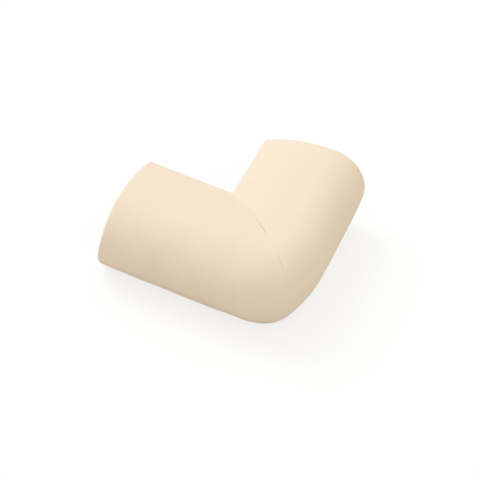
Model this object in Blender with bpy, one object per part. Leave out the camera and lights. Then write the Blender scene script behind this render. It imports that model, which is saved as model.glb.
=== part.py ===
"""Soft foam corner guard: one L-shaped piece that wraps a table's corner.

A strip with an L section (a wide top flap and a shorter side flap, both crowned on
the outside) is folded round the corner. The top flap is mitred there and closed along
a seam. The side flap runs round the outside in one smooth curve.

Frame: +Z up, the guard stands on the lower edge of its side flap, as on a floor.
The origin is the middle of its box at floor level. The outer corner points to -X -Y,
and one arm runs along +X, the other along +Y.
"""

from math import asin, cos, pi, radians, sin

import bmesh
import bpy

# Driving dimensions, in metres.
ARM_LENGTH = 0.055          # outer corner to the cut end of each arm
FLAP_WIDTH = 0.031          # outer side to the free edge of the top flap
HEIGHT = 0.023              # lower edge of the side flap to the top of the crown
WALL = 0.0095               # foam thickness at the two seats, at its thickest
CROWN_RADIUS = 0.039        # outside of the top flap, from its highest line inwards
SHOULDER_RADIUS = 0.011     # outside of the long edge between top and side
SIDE_RADIUS = 0.015         # outside of the side flap, which tucks under
FREE_EDGE_RADIUS = 0.0019   # upper rounding of the top flap's free edge
LOWER_EDGE_RADIUS = 0.0022  # outer rounding of the side flap's lower edge
INNER_EDGE_RADIUS = 0.0006  # rounding of the edges that border the seats
SEAT_FILLET = 0.0008        # fillet between the top seat and the side seats
CORNER_RADIUS = 0.018       # outer corner where it is widest, seen from above
LOWER_CORNER_RADIUS = 0.0075  # outer corner at the lower edge, which tucks under less there
SEAT_CORNER_RADIUS = 0.002  # corner between the two side seats, seen from above
NOTCH_RADIUS = 0.0005       # where the two free edges meet at the seam
SEAM_WIDTH = 0.0006         # mouth of the mitre's seam
SEAM_DEPTH = 0.0004         # depth of the mitre's seam
SEAM_START = 0.005          # outer side to the seam's outer end, across the flap

# How finely the curves are drawn.
CROWN_STEPS = 12
SHOULDER_STEPS = 16
SIDE_STEPS = 8
EDGE_STEPS = 5
SMALL_STEPS = 3
CORNER_STEPS = 12           # on each side of the mitre

FOAM_COLOR = (0.90, 0.76, 0.59, 1.0)


def arc(centre, radius, start, end, steps):
    """Points along an arc, each with the outward normal there. Angles in radians."""
    points = []
    for i in range(steps + 1):
        angle = start + (end - start) * i / steps
        normal = (cos(angle), sin(angle))
        points.append((centre[0] + radius * normal[0], centre[1] + radius * normal[1], normal))
    return points


def skin_outline():
    """Outer skin of the section, from the top flap's free edge to the side flap's lower edge.

    Each point is (inwards from the outer side, up, outward normal).
    """
    crown = (SHOULDER_RADIUS, HEIGHT - CROWN_RADIUS)
    lean = asin((FLAP_WIDTH - FREE_EDGE_RADIUS - crown[0]) / (CROWN_RADIUS - FREE_EDGE_RADIUS))
    reach = CROWN_RADIUS - FREE_EDGE_RADIUS
    edge = (crown[0] + reach * sin(lean), crown[1] + reach * cos(lean))
    shoulder = (SHOULDER_RADIUS, HEIGHT - SHOULDER_RADIUS)
    side = (SIDE_RADIUS, shoulder[1])
    reach = SIDE_RADIUS - LOWER_EDGE_RADIUS
    tuck = asin((side[1] - LOWER_EDGE_RADIUS) / reach)
    lower = (side[0] - reach * cos(tuck), side[1] - reach * sin(tuck))
    return (
        arc(edge, FREE_EDGE_RADIUS, 0.0, pi / 2 - lean, EDGE_STEPS)
        + arc(crown, CROWN_RADIUS, pi / 2 - lean, pi / 2, CROWN_STEPS)[1:]
        + arc(shoulder, SHOULDER_RADIUS, pi / 2, pi, SHOULDER_STEPS)[1:]
        + arc(side, SIDE_RADIUS, pi, pi + tuck, SIDE_STEPS)[1:]
        + arc(lower, LOWER_EDGE_RADIUS, pi + tuck, 1.5 * pi, EDGE_STEPS)[1:]
    )


def seat_outline():
    """Inner outline, from the side flap's lower edge round the seats to the free edge."""
    seat = HEIGHT - WALL
    r = INNER_EDGE_RADIUS
    fillet = (WALL + SEAT_FILLET, seat - SEAT_FILLET)
    return (
        arc((WALL - r, r), r, -pi / 2, 0.0, SMALL_STEPS)
        + arc(fillet, SEAT_FILLET, pi, pi / 2, SMALL_STEPS)
        + arc((FLAP_WIDTH - r, seat + r), r, -pi / 2, 0.0, SMALL_STEPS)
    )


def turn(inwards, radius):
    """Plan points round the corner, at a distance inwards, from the +Y arm to the +X arm.

    The points beside the middle one are the two edges of the seam's mouth.
    """
    middle = inwards + radius
    mouth = min(SEAM_WIDTH / (2 * radius), radians(25))
    half = [(pi / 4 - mouth) * i / CORNER_STEPS for i in range(CORNER_STEPS + 1)]
    angles = half + [pi / 4] + [pi / 2 - a for a in reversed(half)]
    return [(middle - radius * cos(a), middle - radius * sin(a)) for a in angles]


def parallel(outer_radius, inwards):
    """Corner radius of a line parallel to an outer one, down to the notch's own."""
    return max(outer_radius - inwards, NOTCH_RADIUS)


def seam_dip(inwards):
    """Depth of the seam at a distance inwards. It fades in over twice its own width."""
    return SEAM_DEPTH * min(max((inwards - SEAM_START) / (2 * SEAM_WIDTH), 0.0), 1.0)


def carried(inwards, up, radius, normal=(0.0, 0.0), dip=0.0):
    """One point of the section carried from end to end along both arms.

    On the mitre the point sinks into the surface by the depth of the seam there.
    """
    seam = CORNER_STEPS + 1
    points = [(x, y, up) for x, y in turn(inwards, radius)]
    x, y = turn(inwards - dip * normal[0], radius)[seam]
    points[seam] = (x, y, up - dip * normal[1])
    return [(inwards, ARM_LENGTH, up)] + points + [(ARM_LENGTH, inwards, up)]


def stations():
    """The section's closed outline at each step of the way, from the +Y end to the +X end."""
    lines = []
    outline = skin_outline()
    widest = min(range(len(outline)), key=lambda i: outline[i][0])
    for i, (inwards, up, normal) in enumerate(outline):
        radius = parallel(CORNER_RADIUS, inwards)
        if i > widest:
            share = inwards / outline[-1][0]
            radius = CORNER_RADIUS + (LOWER_CORNER_RADIUS - CORNER_RADIUS) * share
        lines.append(carried(inwards, up, radius, normal, seam_dip(inwards) if i < widest else 0.0))
    for inwards, up, normal in seat_outline():
        lines.append(carried(inwards, up, parallel(WALL + SEAT_CORNER_RADIUS, inwards)))
    return list(zip(*lines))


def extrude_ring(bm, ring, station):
    """Extrudes a closed ring of vertices to the next station, and returns the new ring."""
    edges = [bm.edges.get((ring[i - 1], ring[i])) for i in range(len(ring))]
    made = bmesh.ops.extrude_edge_only(bm, edges=edges)["geom"]
    fresh = {item for item in made if isinstance(item, bmesh.types.BMVert)}
    new_ring = []
    for vert, point in zip(ring, station):
        twin = next(e.other_vert(vert) for e in vert.link_edges if e.other_vert(vert) in fresh)
        twin.co = point
        new_ring.append(twin)
    return new_ring


def build_guard():
    """The guard as one closed mesh object, swept through its stations.

    The seats and the other flat faces are then made one face each.
    """
    bm = bmesh.new()
    steps = stations()
    ring = [bm.verts.new(point) for point in steps[0]]
    bm.faces.new(ring)
    for step in steps[1:]:
        ring = extrude_ring(bm, ring, step)
    bm.faces.new(ring)
    bmesh.ops.recalc_face_normals(bm, faces=bm.faces)
    bm.normal_update()
    bmesh.ops.dissolve_limit(bm, angle_limit=radians(0.05), verts=bm.verts, edges=bm.edges)
    bmesh.ops.translate(bm, verts=bm.verts, vec=(-ARM_LENGTH / 2, -ARM_LENGTH / 2, 0.0))
    mesh = bpy.data.meshes.new("foam_guard")
    bm.to_mesh(mesh)
    bm.free()
    guard = bpy.data.objects.new("foam_guard", mesh)
    bpy.context.scene.collection.objects.link(guard)
    mesh.shade_smooth()
    mesh.set_sharp_from_angle(angle=radians(35))
    return guard


def foam_material():
    """Matt beige foam."""
    material = bpy.data.materials.new("foam")
    material.use_nodes = True
    shader = material.node_tree.nodes["Principled BSDF"]
    shader.inputs["Base Color"].default_value = FOAM_COLOR
    shader.inputs["Roughness"].default_value = 0.85
    shader.inputs["Metallic"].default_value = 0.0
    return material


def main():
    for old in list(bpy.data.objects):
        bpy.data.objects.remove(old, do_unlink=True)
    guard = build_guard()
    guard.data.materials.append(foam_material())


main()
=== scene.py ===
"""Looks of a soft foam corner guard: its crowned skin, its cut ends and its mitred seam.

The guard is one piece that stands for the part's plain solid. It is swept along the same
lines from the same sizes, with finer steps, and gets a soft skin, a seam that isn't quite
closed, cut ends with open cells, and a plain studio floor to stand on.

A line of the sweep runs round the corner from the +Y arm's cut end to the +X arm's. Places
on the section are given inwards from the outer side and up from the floor.
"""

from math import asin, ceil, cos, exp, pi, radians, sin, sqrt

import bmesh
import bpy
from bpy.props import FloatProperty, FloatVectorProperty, PointerProperty
from mathutils import Matrix, Vector, noise


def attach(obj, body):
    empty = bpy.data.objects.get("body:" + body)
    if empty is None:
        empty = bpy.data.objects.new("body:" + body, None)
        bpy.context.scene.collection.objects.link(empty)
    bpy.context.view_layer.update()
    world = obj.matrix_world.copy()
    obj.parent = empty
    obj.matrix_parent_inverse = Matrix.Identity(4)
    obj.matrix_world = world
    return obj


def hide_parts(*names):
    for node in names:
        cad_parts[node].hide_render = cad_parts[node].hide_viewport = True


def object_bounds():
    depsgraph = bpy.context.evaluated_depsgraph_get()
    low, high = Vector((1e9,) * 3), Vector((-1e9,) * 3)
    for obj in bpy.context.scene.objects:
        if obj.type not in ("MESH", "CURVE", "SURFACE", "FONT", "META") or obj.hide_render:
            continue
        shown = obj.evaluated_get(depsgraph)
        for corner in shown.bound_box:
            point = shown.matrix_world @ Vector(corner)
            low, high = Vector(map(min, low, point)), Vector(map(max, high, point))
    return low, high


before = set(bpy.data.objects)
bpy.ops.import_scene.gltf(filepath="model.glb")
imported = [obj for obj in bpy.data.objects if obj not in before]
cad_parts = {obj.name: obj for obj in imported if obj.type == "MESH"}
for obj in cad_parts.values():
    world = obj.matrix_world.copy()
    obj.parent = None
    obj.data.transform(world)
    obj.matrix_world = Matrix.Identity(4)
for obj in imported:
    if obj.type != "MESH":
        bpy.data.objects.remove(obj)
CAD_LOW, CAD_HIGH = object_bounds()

bl_info = {
    "name": "Foam corner guard",
    "version": (1, 0, 0),
    "blender": (4, 5, 0),
    "location": "3D View > Sidebar > Corner Guard",
    "description": "Models a soft foam guard for the corner of a table, and its studio stage",
    "category": "Object",
}

# Marks that the mesh carries for the material, 0 to 1.
# where painted shade darkens the seam's open crease
SEAM_SHADE_MARK = "painted_seam_shade"
CUT_MARK = "cut_face"

# The foam's finish. A scale counts waves in a metre. A pair is where a pattern starts and ends.
PATCH_SCALE, PATCH_DETAIL, PATCH_RANGE = 95.0, 3.0, (0.35, 0.68)
SPECK_SCALE, SPECK_DETAIL, SPECK_RANGE = 1100.0, 2.0, (0.35, 0.65)
FLECK_SCALE, FLECK_DETAIL, FLECK_RANGE = 420.0, 2.0, (0.42, 0.62)
GRAIN_SCALE, GRAIN_DETAIL = 2600.0, 3.0
PORE_RANGE = (0.1, 0.55)
CELL_RANGE = (0.0, 0.32)
PATCH_SHARE = 0.75          # part of the skin's warmth that is in patches; the rest is specks
PORE_SHARE = 0.7            # part of the skin's relief that is pores
GRAIN_SHARE = 0.5           # part of it that is grain
SEAM_SHADE_STRENGTH = (0.25, 0.75)    # how dark the painted shade in the seam is, weakest and strongest
ROUGHNESS_SWING = 0.10      # how far the skin's roughness varies
FOAM_SHINE = 0.35           # low, because foam is matt

# The sweep's steps.
LEAST_ARC_STEPS = 3
SMALL_ARC_STEP = 0.3        # step on the seats' small roundings, as a share of the radius
SEAT_STEP = 2               # step on the seats, in mesh steps
MITRE_STEPS = (0.0, 0.12, 0.28, 0.48, 0.72, 1.0, 1.4, 2.0, 2.8, 3.8)    # in the seam's half widths
CUT_EDGE_STEPS = 4          # steps on the rounding of a cut end's edge
CUT_BORDER = 0.1            # flat border on a cut end, as a share of that rounding
CUT_MARK_REACH = 0.4        # how far the cut's cells reach over it
SHARP_ANGLE = radians(40)   # edges sharper than this stay crisp

# The seam. Lengths are in metres.
GAPE_START = 0.0012         # how far the seam takes to open at its outer end
OUTER_GAPE = 0.7            # the outer stretch's gape and length, as a share of the inner one's
CLOSED_GAPE = 0.12          # how far the seam gapes where it is nearly closed
CLOSED_END = 0.008          # from the inner stretch inwards to where nothing of the seam shows
CLOSED_FADE = 0.006         # how long the seam takes to fade out before that
RAGGED_LEVEL, RAGGED_SWING = 0.6, 1.2       # how uneven the gape is along the open stretches
RAGGED_SCALE, RAGGED_PLACE = 800.0, (7.3, 1.9)      # waves in a metre, and which noise is read
CREASE_CURVE = 1.6          # how steeply the seam's two sides meet
LIP_PLACE, LIP_WIDTH = 1.9, 0.6     # the soft lips beside the seam, in half widths of its mouth
SEAM_SHADE_WIDTH = 0.6            # the painted shade line in the seam, in half widths of the mouth
UNDERSIDE_GAPE = 0.5        # how far the seam gapes under the top flap

# The skin, the corner's tip and the cut ends. Lengths are in metres.
SECOND_WAVE, SECOND_SCALE = 0.5, 2.3    # a finer wave on the swell: its height and its rate
LEVEL_FOOT = 0.002          # height over which the swell grows from nothing at the lower edge
TIP_LOSS = 1.2              # how fast the fuller tip is lost from the widest line downwards
TIP_REACH = 0.014           # how far inwards the tip and the flatter places are felt
FLATNESS_BLEND = 0.012      # run over which one arm's flatness becomes the other's
SLANT_TOP, SLANT_RUN = 0.016, 0.010     # height where the +Y end's slant starts, and its run down
SLANT_DEPTH = 0.008         # how far from the +Y end the slant is felt
PINCH_FOOT, PINCH_RUN = 0.012, 0.006    # height where the +X end's push starts, and its run up
PINCH_DEPTH = 0.012         # how far from the +X end the pinch is felt
PINCH_REACH = 0.009         # how far inwards from the outer side it is felt
TOP_PUSH = 0.6              # how far the +X end's top runs out, as a share of the pinch
FOOT_PULL = 0.5             # how far the +Y arm's foot pulls in, as a share of the pinch

# The stage.
WHITE = (1.0, 1.0, 1.0, 1.0)
FLOOR_DROP = 0.00005        # keeps the floor just clear of the guard's lower edge
FLOOR_GLOW = 0.72           # how much of the floor looks plain white; the rest keeps the shadow
FLOOR_ROUGHNESS, FLOOR_SHINE = 0.9, 0.2
LAMP_PLACE, LAMP_SIZE = (0.17, 0.62, 0.77), 0.5
SENSOR_WIDTH = 36.0         # in millimetres
NEAREST, FARTHEST = 0.01, 50.0


def length(name, description, default):
    """A size in metres, for the sidebar."""
    return FloatProperty(name=name, description=description, default=default, min=0.0,
                         precision=5, unit="LENGTH")


def colour(name, description, default):
    """A linear colour, for the sidebar."""
    return FloatVectorProperty(name=name, description=description, default=default,
                               min=0.0, max=1.0, size=3, subtype="COLOR")


def share(name, description, default):
    """A plain number, for the sidebar."""
    return FloatProperty(name=name, description=description, default=default, min=0.0, precision=3)


def turn(name, description, default):
    """An angle, for the sidebar."""
    return FloatProperty(name=name, description=description, default=radians(default),
                         subtype="ANGLE")


class GuardSizes(bpy.types.PropertyGroup):
    """Sizes of the guard: the part's own, and those that only its finished skin has."""

    arm_length: length("Arm length", "Outer corner to each cut end", CAD_HIGH.x - CAD_LOW.x)
    height: length("Height", "Lower edge of the side flap to the top", CAD_HIGH.z - CAD_LOW.z)
    flap_width: length("Top flap", "Outer side to the top flap's free edge", 0.031)
    wall: length("Wall", "Foam thickness over the table", 0.0095)
    crown_radius: length("Crown radius", "Outside of the top flap", 0.039)
    shoulder_radius: length("Shoulder radius", "Outside of the long edge", 0.011)
    side_radius: length("Side radius", "Outside of the side flap", 0.015)
    free_edge_radius: length("Free edge radius", "Rounding of the top flap's free edge", 0.0019)
    lower_edge_radius: length("Lower edge radius", "Rounding of the side flap's lower edge", 0.0022)
    inner_edge_radius: length("Inner edge radius", "Rounding of the edges beside the seats", 0.0006)
    seat_fillet: length("Seat fillet", "Between the top seat and the side seats", 0.0008)
    corner_radius: length("Corner radius", "Outer corner seen from above", 0.018)
    lower_corner_radius: length("Lower corner radius", "Outer corner at the lower edge", 0.0075)
    seat_corner_radius: length("Seat corner radius", "Corner between the side seats", 0.002)
    notch_radius: length("Notch radius", "Where the free edges meet", 0.0005)
    valley_radius: length("Valley radius", "Where the top flap's halves slope to the notch", 0.0030)
    valley_fade: length("Valley fade", "Free edge to the full valley radius", 0.006)
    cut_edge: length("Cut edge", "Rounding of the cut ends' edges", 0.00045)
    tip_rise: length("Corner fullness", "How far the outer corner's tip stands out", 0.0006)
    tip_width: length("Tip width", "Half width of the corner's tip", 0.0035)
    x_flatness: length("Flatness, X arm", "How far the skin falls back beside the tip", 0.0005)
    y_flatness: length("Flatness, Y arm", "How far the skin falls back beside the tip", 0.0003)
    flat_place: length("Flat place", "Tip to the middle of each flatter place", 0.0095)
    flat_width: length("Flat width", "Half width of each flatter place", 0.0045)
    end_slant: length("End slant", "How far the +Y end's cut runs out at its foot", 0.0008)
    end_pinch: length("End pinch", "How far the side pulls in at the +X end", 0.0003)
    mesh_step: length("Mesh step", "Longest step round the section", 0.0005)


class GuardFinish(bpy.types.PropertyGroup):
    """Skin, cells and seam."""

    foam: colour("Foam", "Colour of the foam's skin", (0.895, 0.755, 0.597))
    # the warm colour is also painted shade in the hollows of the cut ends' cells
    warm: colour("Warm foam", "Colour of the skin's warmer patches", (0.885, 0.728, 0.560))
    cells: colour("Cut foam", "Colour of the cells on the cut ends", (0.905, 0.775, 0.615))
    # painted shade: the dark colour that the seam's open crease is painted with
    seam_shade_tone: colour("Seam", "Colour of the glue line in the seam", (0.50, 0.36, 0.25))
    swell: length("Swell", "Height of the skin's slow waves", 0.00005)
    swell_size: length("Swell size", "Length of the skin's slow waves", 0.009)
    pore_size: length("Pore size", "Distance between the skin's pores", 0.00042)
    pore_depth: length("Pore depth", "Depth of the skin's pores", 0.00002)
    cell_size: length("Cell size", "Distance between cells on the cut ends", 0.00058)
    cell_depth: length("Cell depth", "Depth of the cells on the cut ends", 0.00009)
    roughness: share("Roughness", "Roughness of the skin", 0.86)
    seam_width: length("Seam width", "Half width of the seam's mouth", 0.0003)
    seam_depth: length("Seam depth", "Depth of the seam", 0.00024)
    seam_lip: length("Seam lip", "Height of the soft lips beside the seam", 0.00003)
    outer_gap: length("Outer gap", "Outer side to the open stretch near the corner", 0.0055)
    inner_gap: length("Inner gap", "Outer side to the open stretch on the crown", 0.0178)
    gap_length: length("Gap length", "Half length of the open stretch on the crown", 0.0024)
    seam_start: length("Seam start", "Outer side to the seam's outer end", 0.0036)


class StageLook(bpy.types.PropertyGroup):
    """Floor, light and the photograph's view."""

    floor: colour("Floor", "Colour of the floor", (0.70, 0.70, 0.70))
    floor_size: length("Floor size", "Side of the square floor", 4.0)
    sky: share("Sky", "Strength of the even light from all round", 0.835)
    sky_tint: colour("Sky tint", "Colour of the even light, a little warm", (1.0, 0.975, 0.885))
    key: share("Key light", "Power of the large lamp, in watts", 4.1)
    key_tint: colour("Key tint", "Colour of the large lamp, a little cool", (0.68, 0.78, 1.0))
    azimuth: turn("Azimuth", "Where the camera stands, round the guard", -76.123)
    elevation: turn("Elevation", "Height of the camera over the horizon", 45.457)
    roll: turn("Roll", "Turn of the camera about its own line of sight", 11.417)
    distance: length("Distance", "Camera to the point it looks at", 0.40443)
    lens: share("Lens", "Focal length in millimetres, on a sensor 36 wide", 118.02)
    aim: FloatVectorProperty(name="Aim", description="Point at the middle of the picture",
                             default=(-0.01427, -0.00551, 0.020), size=3, subtype="XYZ",
                             unit="LENGTH")


# Shader maths.

class Signal:
    """A socket in a material that takes part in Python's arithmetic."""

    def __init__(self, tree, socket):
        self.tree = tree
        self.socket = socket

    def math(self, operation, first, second):
        return node(self.tree, "ShaderNodeMath", {"operation": operation}, {0: first, 1: second})

    def __add__(self, other):
        return self.math("ADD", self, other)

    def __radd__(self, other):
        return self.math("ADD", other, self)

    def __sub__(self, other):
        return self.math("SUBTRACT", self, other)

    def __rsub__(self, other):
        return self.math("SUBTRACT", other, self)

    def __mul__(self, other):
        return self.math("MULTIPLY", self, other)

    def __rmul__(self, other):
        return self.math("MULTIPLY", other, self)

    def at_least(self, other):
        return self.math("MAXIMUM", self, other)


def node(tree, kind, settings=None, inputs=None, output=0):
    """Adds a node, sets it up, fills or links its sockets and returns one output as a signal."""
    made = tree.nodes.new(kind)
    for name, value in (settings or {}).items():
        setattr(made, name, value)
    for name, value in (inputs or {}).items():
        if isinstance(value, Signal):
            tree.links.new(value.socket, made.inputs[name])
        else:
            made.inputs[name].default_value = value
    return Signal(tree, made.outputs[output]) if made.outputs else None


def smooth_step(value, low, high, start=0.0, end=1.0):
    """A signal that runs smoothly from start to end while a value goes from low to high."""
    return node(value.tree, "ShaderNodeMapRange", {"interpolation_type": "SMOOTHSTEP"},
                {"Value": value, "From Min": low, "From Max": high, "To Min": start, "To Max": end})


def mix(factor, first, second):
    """A colour between two others."""
    return node(factor.tree, "ShaderNodeMix", {"data_type": "RGBA"},
                {"Factor": factor, "A": first, "B": second}, output=2)


def cloud(place, scale, detail):
    """Soft noise over the surface."""
    return node(place.tree, "ShaderNodeTexNoise",
                inputs={"Vector": place, "Scale": scale, "Detail": detail})


def cellular(place, size, feature):
    """A pattern of round cells that lie a given size apart."""
    return node(place.tree, "ShaderNodeTexVoronoi", {"feature": feature},
                {"Vector": place, "Scale": 1.0 / size, "Randomness": 1.0})


def mark_on(tree, name):
    """A mark that the mesh carries."""
    return node(tree, "ShaderNodeAttribute", {"attribute_name": name}, output="Fac")


def new_material(name):
    """An empty material and its node tree."""
    material = bpy.data.materials.new(name)
    material.use_nodes = True
    material.node_tree.nodes.clear()
    return material, material.node_tree


def rgba(tone):
    """A colour with full cover."""
    return (*tone, 1.0)


def foam_material(finish):
    """Closed-cell foam: a fine pored skin, coarser cells on the cut ends with painted shade in
    their hollows, painted shade in the seam's crease.
    """
    material, tree = new_material("foam")
    place = node(tree, "ShaderNodeTexCoord", output="Object")
    cut = mark_on(tree, CUT_MARK)
    # painted shade in the seam's crease, strongest where it gapes
    shade = mark_on(tree, SEAM_SHADE_MARK)

    patches = smooth_step(cloud(place, PATCH_SCALE, PATCH_DETAIL), *PATCH_RANGE)
    specks = cloud(place, SPECK_SCALE, SPECK_DETAIL)
    warmth = patches * PATCH_SHARE + smooth_step(specks, *SPECK_RANGE) * (1.0 - PATCH_SHARE)
    skin = mix(warmth, rgba(finish.foam), rgba(finish.warm))

    # the cut cells' hollows are darker than their walls: painted shade in the pits of their relief
    hollow = smooth_step(cellular(place, finish.cell_size, "DISTANCE_TO_EDGE"), *CELL_RANGE)
    shaded_cell_tone = mix(hollow, rgba(finish.cells), rgba(finish.warm))
    # the seam's painted shade, broken into uneven flecks
    flecks = smooth_step(cloud(place, FLECK_SCALE, FLECK_DETAIL), *FLECK_RANGE, *SEAM_SHADE_STRENGTH)
    tone = mix(shade * flecks, mix(cut, skin, shaded_cell_tone), rgba(finish.seam_shade_tone))

    pores = smooth_step(cellular(place, finish.pore_size, "F1"), *PORE_RANGE)
    grain = cloud(place, GRAIN_SCALE, GRAIN_DETAIL)
    skin_height = pores * PORE_SHARE + grain * GRAIN_SHARE
    fine = node(tree, "ShaderNodeBump", inputs={
        "Strength": 1.0, "Distance": finish.pore_depth, "Height": skin_height * (1.0 - cut)})
    relief = node(tree, "ShaderNodeBump", inputs={
        "Strength": 1.0, "Distance": finish.cell_depth, "Height": (1.0 - hollow) * cut,
        "Normal": fine})
    roughness = finish.roughness + (specks - 0.5) * ROUGHNESS_SWING
    shader = node(tree, "ShaderNodeBsdfPrincipled", inputs={
        "Base Color": tone, "Roughness": roughness, "Specular IOR Level": FOAM_SHINE,
        "Normal": relief})
    node(tree, "ShaderNodeOutputMaterial", inputs={"Surface": shader})
    return material


# The guard's section.

def arc(centre, radius, start, end, spacing):
    """Points along an arc as (inwards, up, outward normal), no further apart than spacing."""
    steps = max(LEAST_ARC_STEPS, ceil(radius * abs(end - start) / spacing))
    points = []
    for i in range(steps + 1):
        angle = start + (end - start) * i / steps
        normal = (cos(angle), sin(angle))
        points.append((centre[0] + radius * normal[0], centre[1] + radius * normal[1], normal))
    return points


def small_arc(centre, radius, start, end):
    """One of the small roundings beside the seats."""
    return arc(centre, radius, start, end, SMALL_ARC_STEP * radius)


def straight(start, end, normal, spacing):
    """Points between two ends of a flat face, without the ends."""
    start, end = Vector(start), Vector(end)
    steps = max(1, ceil((end - start).length / spacing))
    return [(*start.lerp(end, i / steps), normal) for i in range(1, steps)]


def skin_outline(s):
    """Outer skin of the section, from the top flap's free edge to the side flap's lower edge."""
    crown = (s.shoulder_radius, s.height - s.crown_radius)
    reach = s.crown_radius - s.free_edge_radius
    lean = asin((s.flap_width - s.free_edge_radius - crown[0]) / reach)
    edge = (crown[0] + reach * sin(lean), crown[1] + reach * cos(lean))
    shoulder = (s.shoulder_radius, s.height - s.shoulder_radius)
    side = (s.side_radius, shoulder[1])
    reach = s.side_radius - s.lower_edge_radius
    tuck = asin((side[1] - s.lower_edge_radius) / reach)
    lower = (side[0] - reach * cos(tuck), side[1] - reach * sin(tuck))
    step = s.mesh_step
    return (
        arc(edge, s.free_edge_radius, 0.0, pi / 2 - lean, step)
        + arc(crown, s.crown_radius, pi / 2 - lean, pi / 2, step)[1:]
        + arc(shoulder, s.shoulder_radius, pi / 2, pi, step)[1:]
        + arc(side, s.side_radius, pi, pi + tuck, step)[1:]
        + arc(lower, s.lower_edge_radius, pi + tuck, 1.5 * pi, step)[1:]
    )


def seat_outline(s):
    """Inner outline, from the side flap's lower edge round the seats to the free edge."""
    seat = s.height - s.wall
    r = s.inner_edge_radius
    fillet = s.seat_fillet
    step = SEAT_STEP * s.mesh_step
    low = small_arc((s.wall - r, r), r, -pi / 2, 0.0)
    inside = small_arc((s.wall + fillet, seat - fillet), fillet, pi, pi / 2)
    inside = [(inwards, up, (-n[0], -n[1])) for inwards, up, n in inside]
    tip = small_arc((s.flap_width - r, seat + r), r, -pi / 2, 0.0)
    side_seat = straight(low[-1][:2], inside[0][:2], (1.0, 0.0), step)
    top_seat = straight(inside[-1][:2], tip[0][:2], (0.0, -1.0), step)
    return low + side_seat + inside + top_seat + tip


# The sweep round the corner.

def limited(value):
    """A number kept between 0 and 1."""
    return min(max(value, 0.0), 1.0)


def bell(distance, width):
    """A soft hump: one at the middle, fading on both sides."""
    return exp(-0.5 * (distance / width) ** 2)


def on_path(inwards, radius, reach):
    """Plan point on a line round the corner, reach metres from the mitre: + is the +X arm."""
    middle = inwards + radius
    bend = radius * pi / 4
    run = abs(reach)
    if run <= bend:
        angle = pi / 4 + run / radius
        point = (middle - radius * cos(angle), middle - radius * sin(angle))
    else:
        point = (middle + run - bend, inwards)
    return point if reach >= 0 else (point[1], point[0])


def path_length(s, inwards, radius):
    """From the mitre to a cut end, along one line of the sweep."""
    return s.arm_length - inwards - radius + radius * pi / 4


def station_reaches(s, finish, total):
    """Distances from the mitre of every station, for one line of the sweep.

    They are closest beside the mitre, to draw the seam, and on the cut end's rounding.
    """
    near = [finish.seam_width * t for t in MITRE_STEPS]
    run = total - s.cut_edge - near[-1]
    count = ceil(path_length(s, 0.0, s.corner_radius) / s.mesh_step)
    far = [near[-1] + run * (i / count) for i in range(1, count + 1)]
    edge = [total - s.cut_edge * (1.0 - sin(pi / 2 * i / CUT_EDGE_STEPS))
            for i in range(1, CUT_EDGE_STEPS + 1)]
    half = near + far + edge
    return [-r for r in reversed(half[1:])] + half


def corner_radius_at(s, inwards, below, foot):
    """Corner radius of a line of the skin, seen from above. The foot is the lowest line's place."""
    if below:
        return s.corner_radius + (s.lower_corner_radius - s.corner_radius) * inwards / foot
    softness = limited((s.flap_width - inwards) / s.valley_fade)
    valley = s.notch_radius + (s.valley_radius - s.notch_radius) * softness
    return max(s.corner_radius - inwards, valley)


def corner_fullness(s, reach, above, below):
    """How far a line stands out of a plain round corner: fuller at the tip, flatter beside it."""
    tip = s.tip_rise * bell(reach, s.tip_width) * (1.0 - TIP_LOSS * below)
    to_x = limited(0.5 + reach / FLATNESS_BLEND)
    flatness = s.y_flatness + (s.x_flatness - s.y_flatness) * to_x
    flat = flatness * bell(abs(reach) - s.flat_place, s.flat_width)
    return (tip - flat) * max(0.0, 1.0 - above / TIP_REACH)


def skin_swell(finish, x, y, z):
    """Slow waves in the skin, as soft foam has."""
    place = Vector((x, y, z)) / finish.swell_size
    second = SECOND_WAVE * noise.noise(place * SECOND_SCALE)
    return finish.swell * (noise.noise(place) + second)


def seam_gape(finish, inwards):
    """How far the seam gapes, 0 to 1: open in two stretches, and nearly closed elsewhere."""
    if inwards < finish.seam_start:
        return 0.0
    start = limited((inwards - finish.seam_start) / GAPE_START)
    outer = OUTER_GAPE * bell(inwards - finish.outer_gap, OUTER_GAPE * finish.gap_length)
    inner = bell(inwards - finish.inner_gap, finish.gap_length)
    uneven = noise.noise(Vector((inwards * RAGGED_SCALE, *RAGGED_PLACE)))
    ragged = max(0.0, RAGGED_LEVEL + RAGGED_SWING * uneven)
    closed = CLOSED_GAPE * limited((finish.inner_gap + CLOSED_END - inwards) / CLOSED_FADE)
    return start * min(1.0, closed + (outer + inner) * ragged)


def seam_relief(finish, gape, reach):
    """How far the skin sinks at the seam: two soft lips that meet in a fine line."""
    run = abs(reach) / finish.seam_width
    crease = finish.seam_depth * max(0.0, 1.0 - run) ** CREASE_CURVE
    lip = finish.seam_lip * bell(run - LIP_PLACE, LIP_WIDTH)
    return gape * (crease - lip)


def seam_shade(finish, gape, reach):
    """How strongly the painted shade in the seam's crease shows, 0 to 1: most where the seam gapes.
    """
    return gape * max(0.0, 1.0 - abs(reach) / (SEAM_SHADE_WIDTH * finish.seam_width))


def end_rounding(s, away):
    """How far the skin sinks beside a cut end, that far away from it."""
    inside = max(0.0, s.cut_edge - away)
    return s.cut_edge - sqrt(max(0.0, s.cut_edge ** 2 - inside ** 2))


def cut_shows(s, away):
    """One on a cut end, fading out over its rounding."""
    return max(0.0, 1.0 - away / (CUT_MARK_REACH * s.cut_edge))


def end_share(s, along, depth):
    """Nothing along an arm, rising to one at its cut end."""
    return max(0.0, (along - s.arm_length + depth) / depth) ** 2


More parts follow.
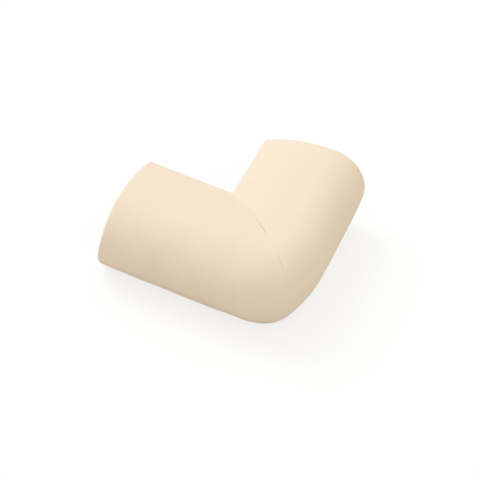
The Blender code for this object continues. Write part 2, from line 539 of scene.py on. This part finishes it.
def ends_give(s, x, y, up):
    """The cut ends aren't quite true: one runs out at its foot, the other's side pulls in."""
    if x > y:
        near = end_share(s, x, PINCH_DEPTH)
        high = limited((up - PINCH_FOOT) / PINCH_RUN)
        pull = s.end_pinch * max(0.0, 1.0 - y / PINCH_REACH) * near
        return x + TOP_PUSH * s.end_pinch * high * near, y + pull
    near = end_share(s, y, SLANT_DEPTH)
    low = limited((SLANT_TOP - up) / SLANT_RUN)
    pull = FOOT_PULL * s.end_pinch * low * max(0.0, 1.0 - x / PINCH_REACH) * near
    return x + pull, y + s.end_slant * low * near


def near_end(s, x, y, z, normal, away):
    """A point of the sweep with the cut end's rounding and unevenness."""
    sink = end_rounding(s, away)
    if x > y:
        x, y = ends_give(s, x, y - sink * normal[0], z)
    else:
        x, y = ends_give(s, x - sink * normal[0], y, z)
    return x, y, z - sink * normal[1]


def line_point(s, finish, place, normal, gape, reach, away):
    """One point of a line: its place, then its marks for the seam's painted shade and for cut foam.
    """
    return (*near_end(s, *place, normal, away), seam_shade(finish, gape, reach), cut_shows(s, away))


def skin_line(s, finish, inwards, up, normal, below, foot):
    """One line of the outer skin, below its widest line or above it."""
    radius = corner_radius_at(s, inwards, below, foot)
    level = limited(up / LEVEL_FOOT)
    above, under = (0.0, inwards / foot) if below else (inwards, 0.0)
    gape = 0.0 if below else seam_gape(finish, inwards)
    total = path_length(s, inwards, radius)
    line = []
    for reach in station_reaches(s, finish, total):
        x, y = on_path(inwards, radius, reach)
        rise = skin_swell(finish, x, y, up) * level - seam_relief(finish, gape, reach)
        full = corner_fullness(s, reach, above, under)
        x, y = on_path(inwards + rise * normal[0] - full, radius, reach)
        place = (x, y, up + rise * normal[1])
        line.append(line_point(s, finish, place, normal, gape, reach, total - abs(reach)))
    return line


def seat_line(s, finish, inwards, up, normal):
    """One line of the inner side. The seam shows as a shallow crease under the top flap."""
    radius = max(s.wall + s.seat_corner_radius - inwards, s.notch_radius)
    faces_down = normal[1] < -0.5
    gape = UNDERSIDE_GAPE if faces_down else 0.0
    total = path_length(s, inwards, radius)
    line = []
    for reach in station_reaches(s, finish, total):
        place = (*on_path(inwards, radius, reach), up + seam_relief(finish, gape, reach))
        line.append(line_point(s, finish, place, normal, gape, reach, total - abs(reach)))
    return line


def sweep_lines(s, finish):
    """Every point of the section, carried along both arms with its relief."""
    outline = skin_outline(s)
    widest = min(range(len(outline)), key=lambda i: outline[i][0])
    foot = outline[-1][0]
    skin = [skin_line(s, finish, *point, i > widest, foot) for i, point in enumerate(outline)]
    return skin + [seat_line(s, finish, *point) for point in seat_outline(s)]


# The guard's mesh.

def place_ring(ring, station, marks):
    """Puts a ring of vertices in its place and marks where the seam's painted shade and cut foam
    show.
    """
    for vert, point in zip(ring, station):
        vert.co = point[:3]
        for mark, value in zip(marks, point[3:]):
            vert[mark] = value


def extrude_ring(bm, ring, station, marks):
    """Extrudes a closed ring of vertices to the next station, and returns the new ring."""
    edges = [bm.edges.get((ring[i - 1], ring[i])) for i in range(len(ring))]
    made = bmesh.ops.extrude_edge_only(bm, edges=edges)["geom"]
    fresh = {item for item in made if isinstance(item, bmesh.types.BMVert)}
    new_ring = []
    for vert in ring:
        neighbours = (edge.other_vert(vert) for edge in vert.link_edges)
        new_ring.append(next(other for other in neighbours if other in fresh))
    place_ring(new_ring, station, marks)
    return new_ring


def close_end(bm, ring, border):
    """Caps a cut end and sets a border just inside it, so that the rest stays flat."""
    cap = bm.faces.new(ring)
    bmesh.ops.recalc_face_normals(bm, faces=bm.faces)
    bmesh.ops.inset_region(bm, faces=[cap], thickness=border, depth=0.0)
    bmesh.ops.triangulate(bm, faces=[cap], ngon_method="EAR_CLIP")


def guard_mesh(s, finish):
    """The guard as one closed mesh in the part's own frame."""
    bm = bmesh.new()
    layers = bm.verts.layers.float
    for name in (SEAM_SHADE_MARK, CUT_MARK):
        layers.new(name)
    marks = (layers[SEAM_SHADE_MARK], layers[CUT_MARK])
    stations = list(zip(*sweep_lines(s, finish)))
    first = [bm.verts.new() for _ in stations[0]]
    place_ring(first, stations[0], marks)
    for i in range(len(first)):
        bm.edges.new((first[i - 1], first[i]))
    ring = first
    for station in stations[1:]:
        ring = extrude_ring(bm, ring, station, marks)
    for end in (first, ring):
        close_end(bm, end, CUT_BORDER * s.cut_edge)
    bmesh.ops.translate(bm, verts=bm.verts, vec=(-s.arm_length / 2, -s.arm_length / 2, 0.0))
    bmesh.ops.recalc_face_normals(bm, faces=bm.faces)
    mesh = bpy.data.meshes.new("guard_skin")
    bm.to_mesh(mesh)
    bm.free()
    mesh.shade_smooth()
    mesh.set_sharp_from_angle(angle=SHARP_ANGLE)
    return mesh


class CORNERGUARD_OT_guard(bpy.types.Operator):
    """Model the foam guard and give it its skin"""

    bl_idname = "cornerguard.guard"
    bl_label = "Foam guard"

    def execute(self, context):
        scene = context.scene
        mesh = guard_mesh(scene.guard_sizes, scene.guard_finish)
        if not mesh.polygons:
            raise RuntimeError("the guard's mesh is empty")
        guard = bpy.data.objects.new("guard_skin", mesh)
        scene.collection.objects.link(guard)
        mesh.materials.append(foam_material(scene.guard_finish))
        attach(guard, "root")
        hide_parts("foam_guard")
        return {"FINISHED"}


# The stage.

def seen_rays(tree):
    """One for the rays that show the backdrop: from the camera, or by way of a gloss or glass."""
    path = node(tree, "ShaderNodeLightPath").socket.node
    camera, glossy, clear = (Signal(tree, path.outputs[name]) for name in (
        "Is Camera Ray", "Is Glossy Ray", "Is Transmission Ray"))
    return camera.at_least(glossy).at_least(clear)


def floor_material(stage):
    """A plain pale floor that looks white to the camera and keeps the shadow."""
    material, tree = new_material("floor")
    seen = seen_rays(tree)
    surface = node(tree, "ShaderNodeBsdfPrincipled", inputs={
        "Base Color": mix(seen, rgba(stage.floor), WHITE), "Roughness": FLOOR_ROUGHNESS,
        "Specular IOR Level": FLOOR_SHINE})
    glow = node(tree, "ShaderNodeEmission", inputs={"Color": WHITE, "Strength": 1.0})
    shown = node(tree, "ShaderNodeMixShader", inputs={0: seen * FLOOR_GLOW, 1: surface, 2: glow})
    node(tree, "ShaderNodeOutputMaterial", inputs={"Surface": shown})
    return material


def add_floor(scene, stage):
    """The floor that the guard stands on."""
    bm = bmesh.new()
    bmesh.ops.create_grid(bm, x_segments=1, y_segments=1, size=stage.floor_size / 2)
    bmesh.ops.translate(bm, verts=bm.verts, vec=(0.0, 0.0, CAD_LOW.z - FLOOR_DROP))
    mesh = bpy.data.meshes.new("floor")
    bm.to_mesh(mesh)
    bm.free()
    floor = bpy.data.objects.new("floor", mesh)
    scene.collection.objects.link(floor)
    mesh.materials.append(floor_material(stage))


def add_sky(scene, stage):
    """Even light from all round, white to the camera."""
    world = bpy.data.worlds.new("studio")
    world.use_nodes = True
    tree = world.node_tree
    tree.nodes.clear()
    even = node(tree, "ShaderNodeBackground", inputs={
        "Color": rgba(stage.sky_tint), "Strength": stage.sky})
    white = node(tree, "ShaderNodeBackground", inputs={"Color": WHITE, "Strength": 1.0})
    shown = node(tree, "ShaderNodeMixShader", inputs={0: seen_rays(tree), 1: even, 2: white})
    node(tree, "ShaderNodeOutputWorld", inputs={"Surface": shown})
    scene.world = world


def add_lamp(scene, stage):
    """A large, square, soft lamp that looks at the guard."""
    lamp = bpy.data.lights.new("key", "AREA")
    lamp.shape = "SQUARE"
    lamp.size = LAMP_SIZE
    lamp.energy = stage.key
    lamp.color = stage.key_tint
    holder = bpy.data.objects.new("key", lamp)
    scene.collection.objects.link(holder)
    away = Vector(LAMP_PLACE) - (CAD_LOW + CAD_HIGH) / 2
    turned = away.to_track_quat("Z", "Y").to_matrix().to_4x4()
    holder.matrix_world = Matrix.Translation(LAMP_PLACE) @ turned


def add_camera(scene, stage):
    """The photograph's view. The picture is 480 pixels square."""
    data = bpy.data.cameras.new("camera")
    data.lens = stage.lens
    data.sensor_width = SENSOR_WIDTH
    data.clip_start = NEAREST
    data.clip_end = FARTHEST
    camera = bpy.data.objects.new("camera", data)
    scene.collection.objects.link(camera)
    turned = (Matrix.Rotation(stage.azimuth, 4, "Z")
              @ Matrix.Rotation(pi / 2 - stage.elevation, 4, "X")
              @ Matrix.Rotation(stage.roll, 4, "Z"))
    back = turned.to_3x3() @ Vector((0.0, 0.0, stage.distance))
    camera.matrix_world = Matrix.Translation(Vector(stage.aim) + back) @ turned
    scene.camera = camera


class CORNERGUARD_OT_stage(bpy.types.Operator):
    """Set up the floor, the light and the camera"""

    bl_idname = "cornerguard.stage"
    bl_label = "Studio stage"

    def execute(self, context):
        scene = context.scene
        stage = scene.guard_stage
        scene.view_settings.view_transform = "Standard"
        add_floor(scene, stage)
        add_sky(scene, stage)
        add_lamp(scene, stage)
        add_camera(scene, stage)
        if scene.camera is None:
            raise RuntimeError("the stage has no camera")
        return {"FINISHED"}


class CORNERGUARD_PT_sidebar(bpy.types.Panel):
    """Sizes, finish and stage of the guard"""

    bl_label = "Corner Guard"
    bl_space_type = "VIEW_3D"
    bl_region_type = "UI"
    bl_category = "Corner Guard"

    def draw(self, context):
        scene = context.scene
        for title, group, operator in (
            ("Sizes", scene.guard_sizes, None),
            ("Finish", scene.guard_finish, CORNERGUARD_OT_guard.bl_idname),
            ("Stage", scene.guard_stage, CORNERGUARD_OT_stage.bl_idname),
        ):
            box = self.layout.box()
            box.label(text=title)
            for name in group.__annotations__:
                box.prop(group, name)
            if operator:
                box.operator(operator)


CLASSES = (
    GuardSizes,
    GuardFinish,
    StageLook,
    CORNERGUARD_OT_guard,
    CORNERGUARD_OT_stage,
    CORNERGUARD_PT_sidebar,
)


def register():
    for cls in CLASSES:
        bpy.utils.register_class(cls)
    bpy.types.Scene.guard_sizes = PointerProperty(type=GuardSizes)
    bpy.types.Scene.guard_finish = PointerProperty(type=GuardFinish)
    bpy.types.Scene.guard_stage = PointerProperty(type=StageLook)


def unregister():
    del bpy.types.Scene.guard_stage
    del bpy.types.Scene.guard_finish
    del bpy.types.Scene.guard_sizes
    for cls in reversed(CLASSES):
        bpy.utils.unregister_class(cls)


def main():
    register()
    bpy.ops.cornerguard.guard()
    bpy.ops.cornerguard.stage()


if __name__ == "__main__":
    main()
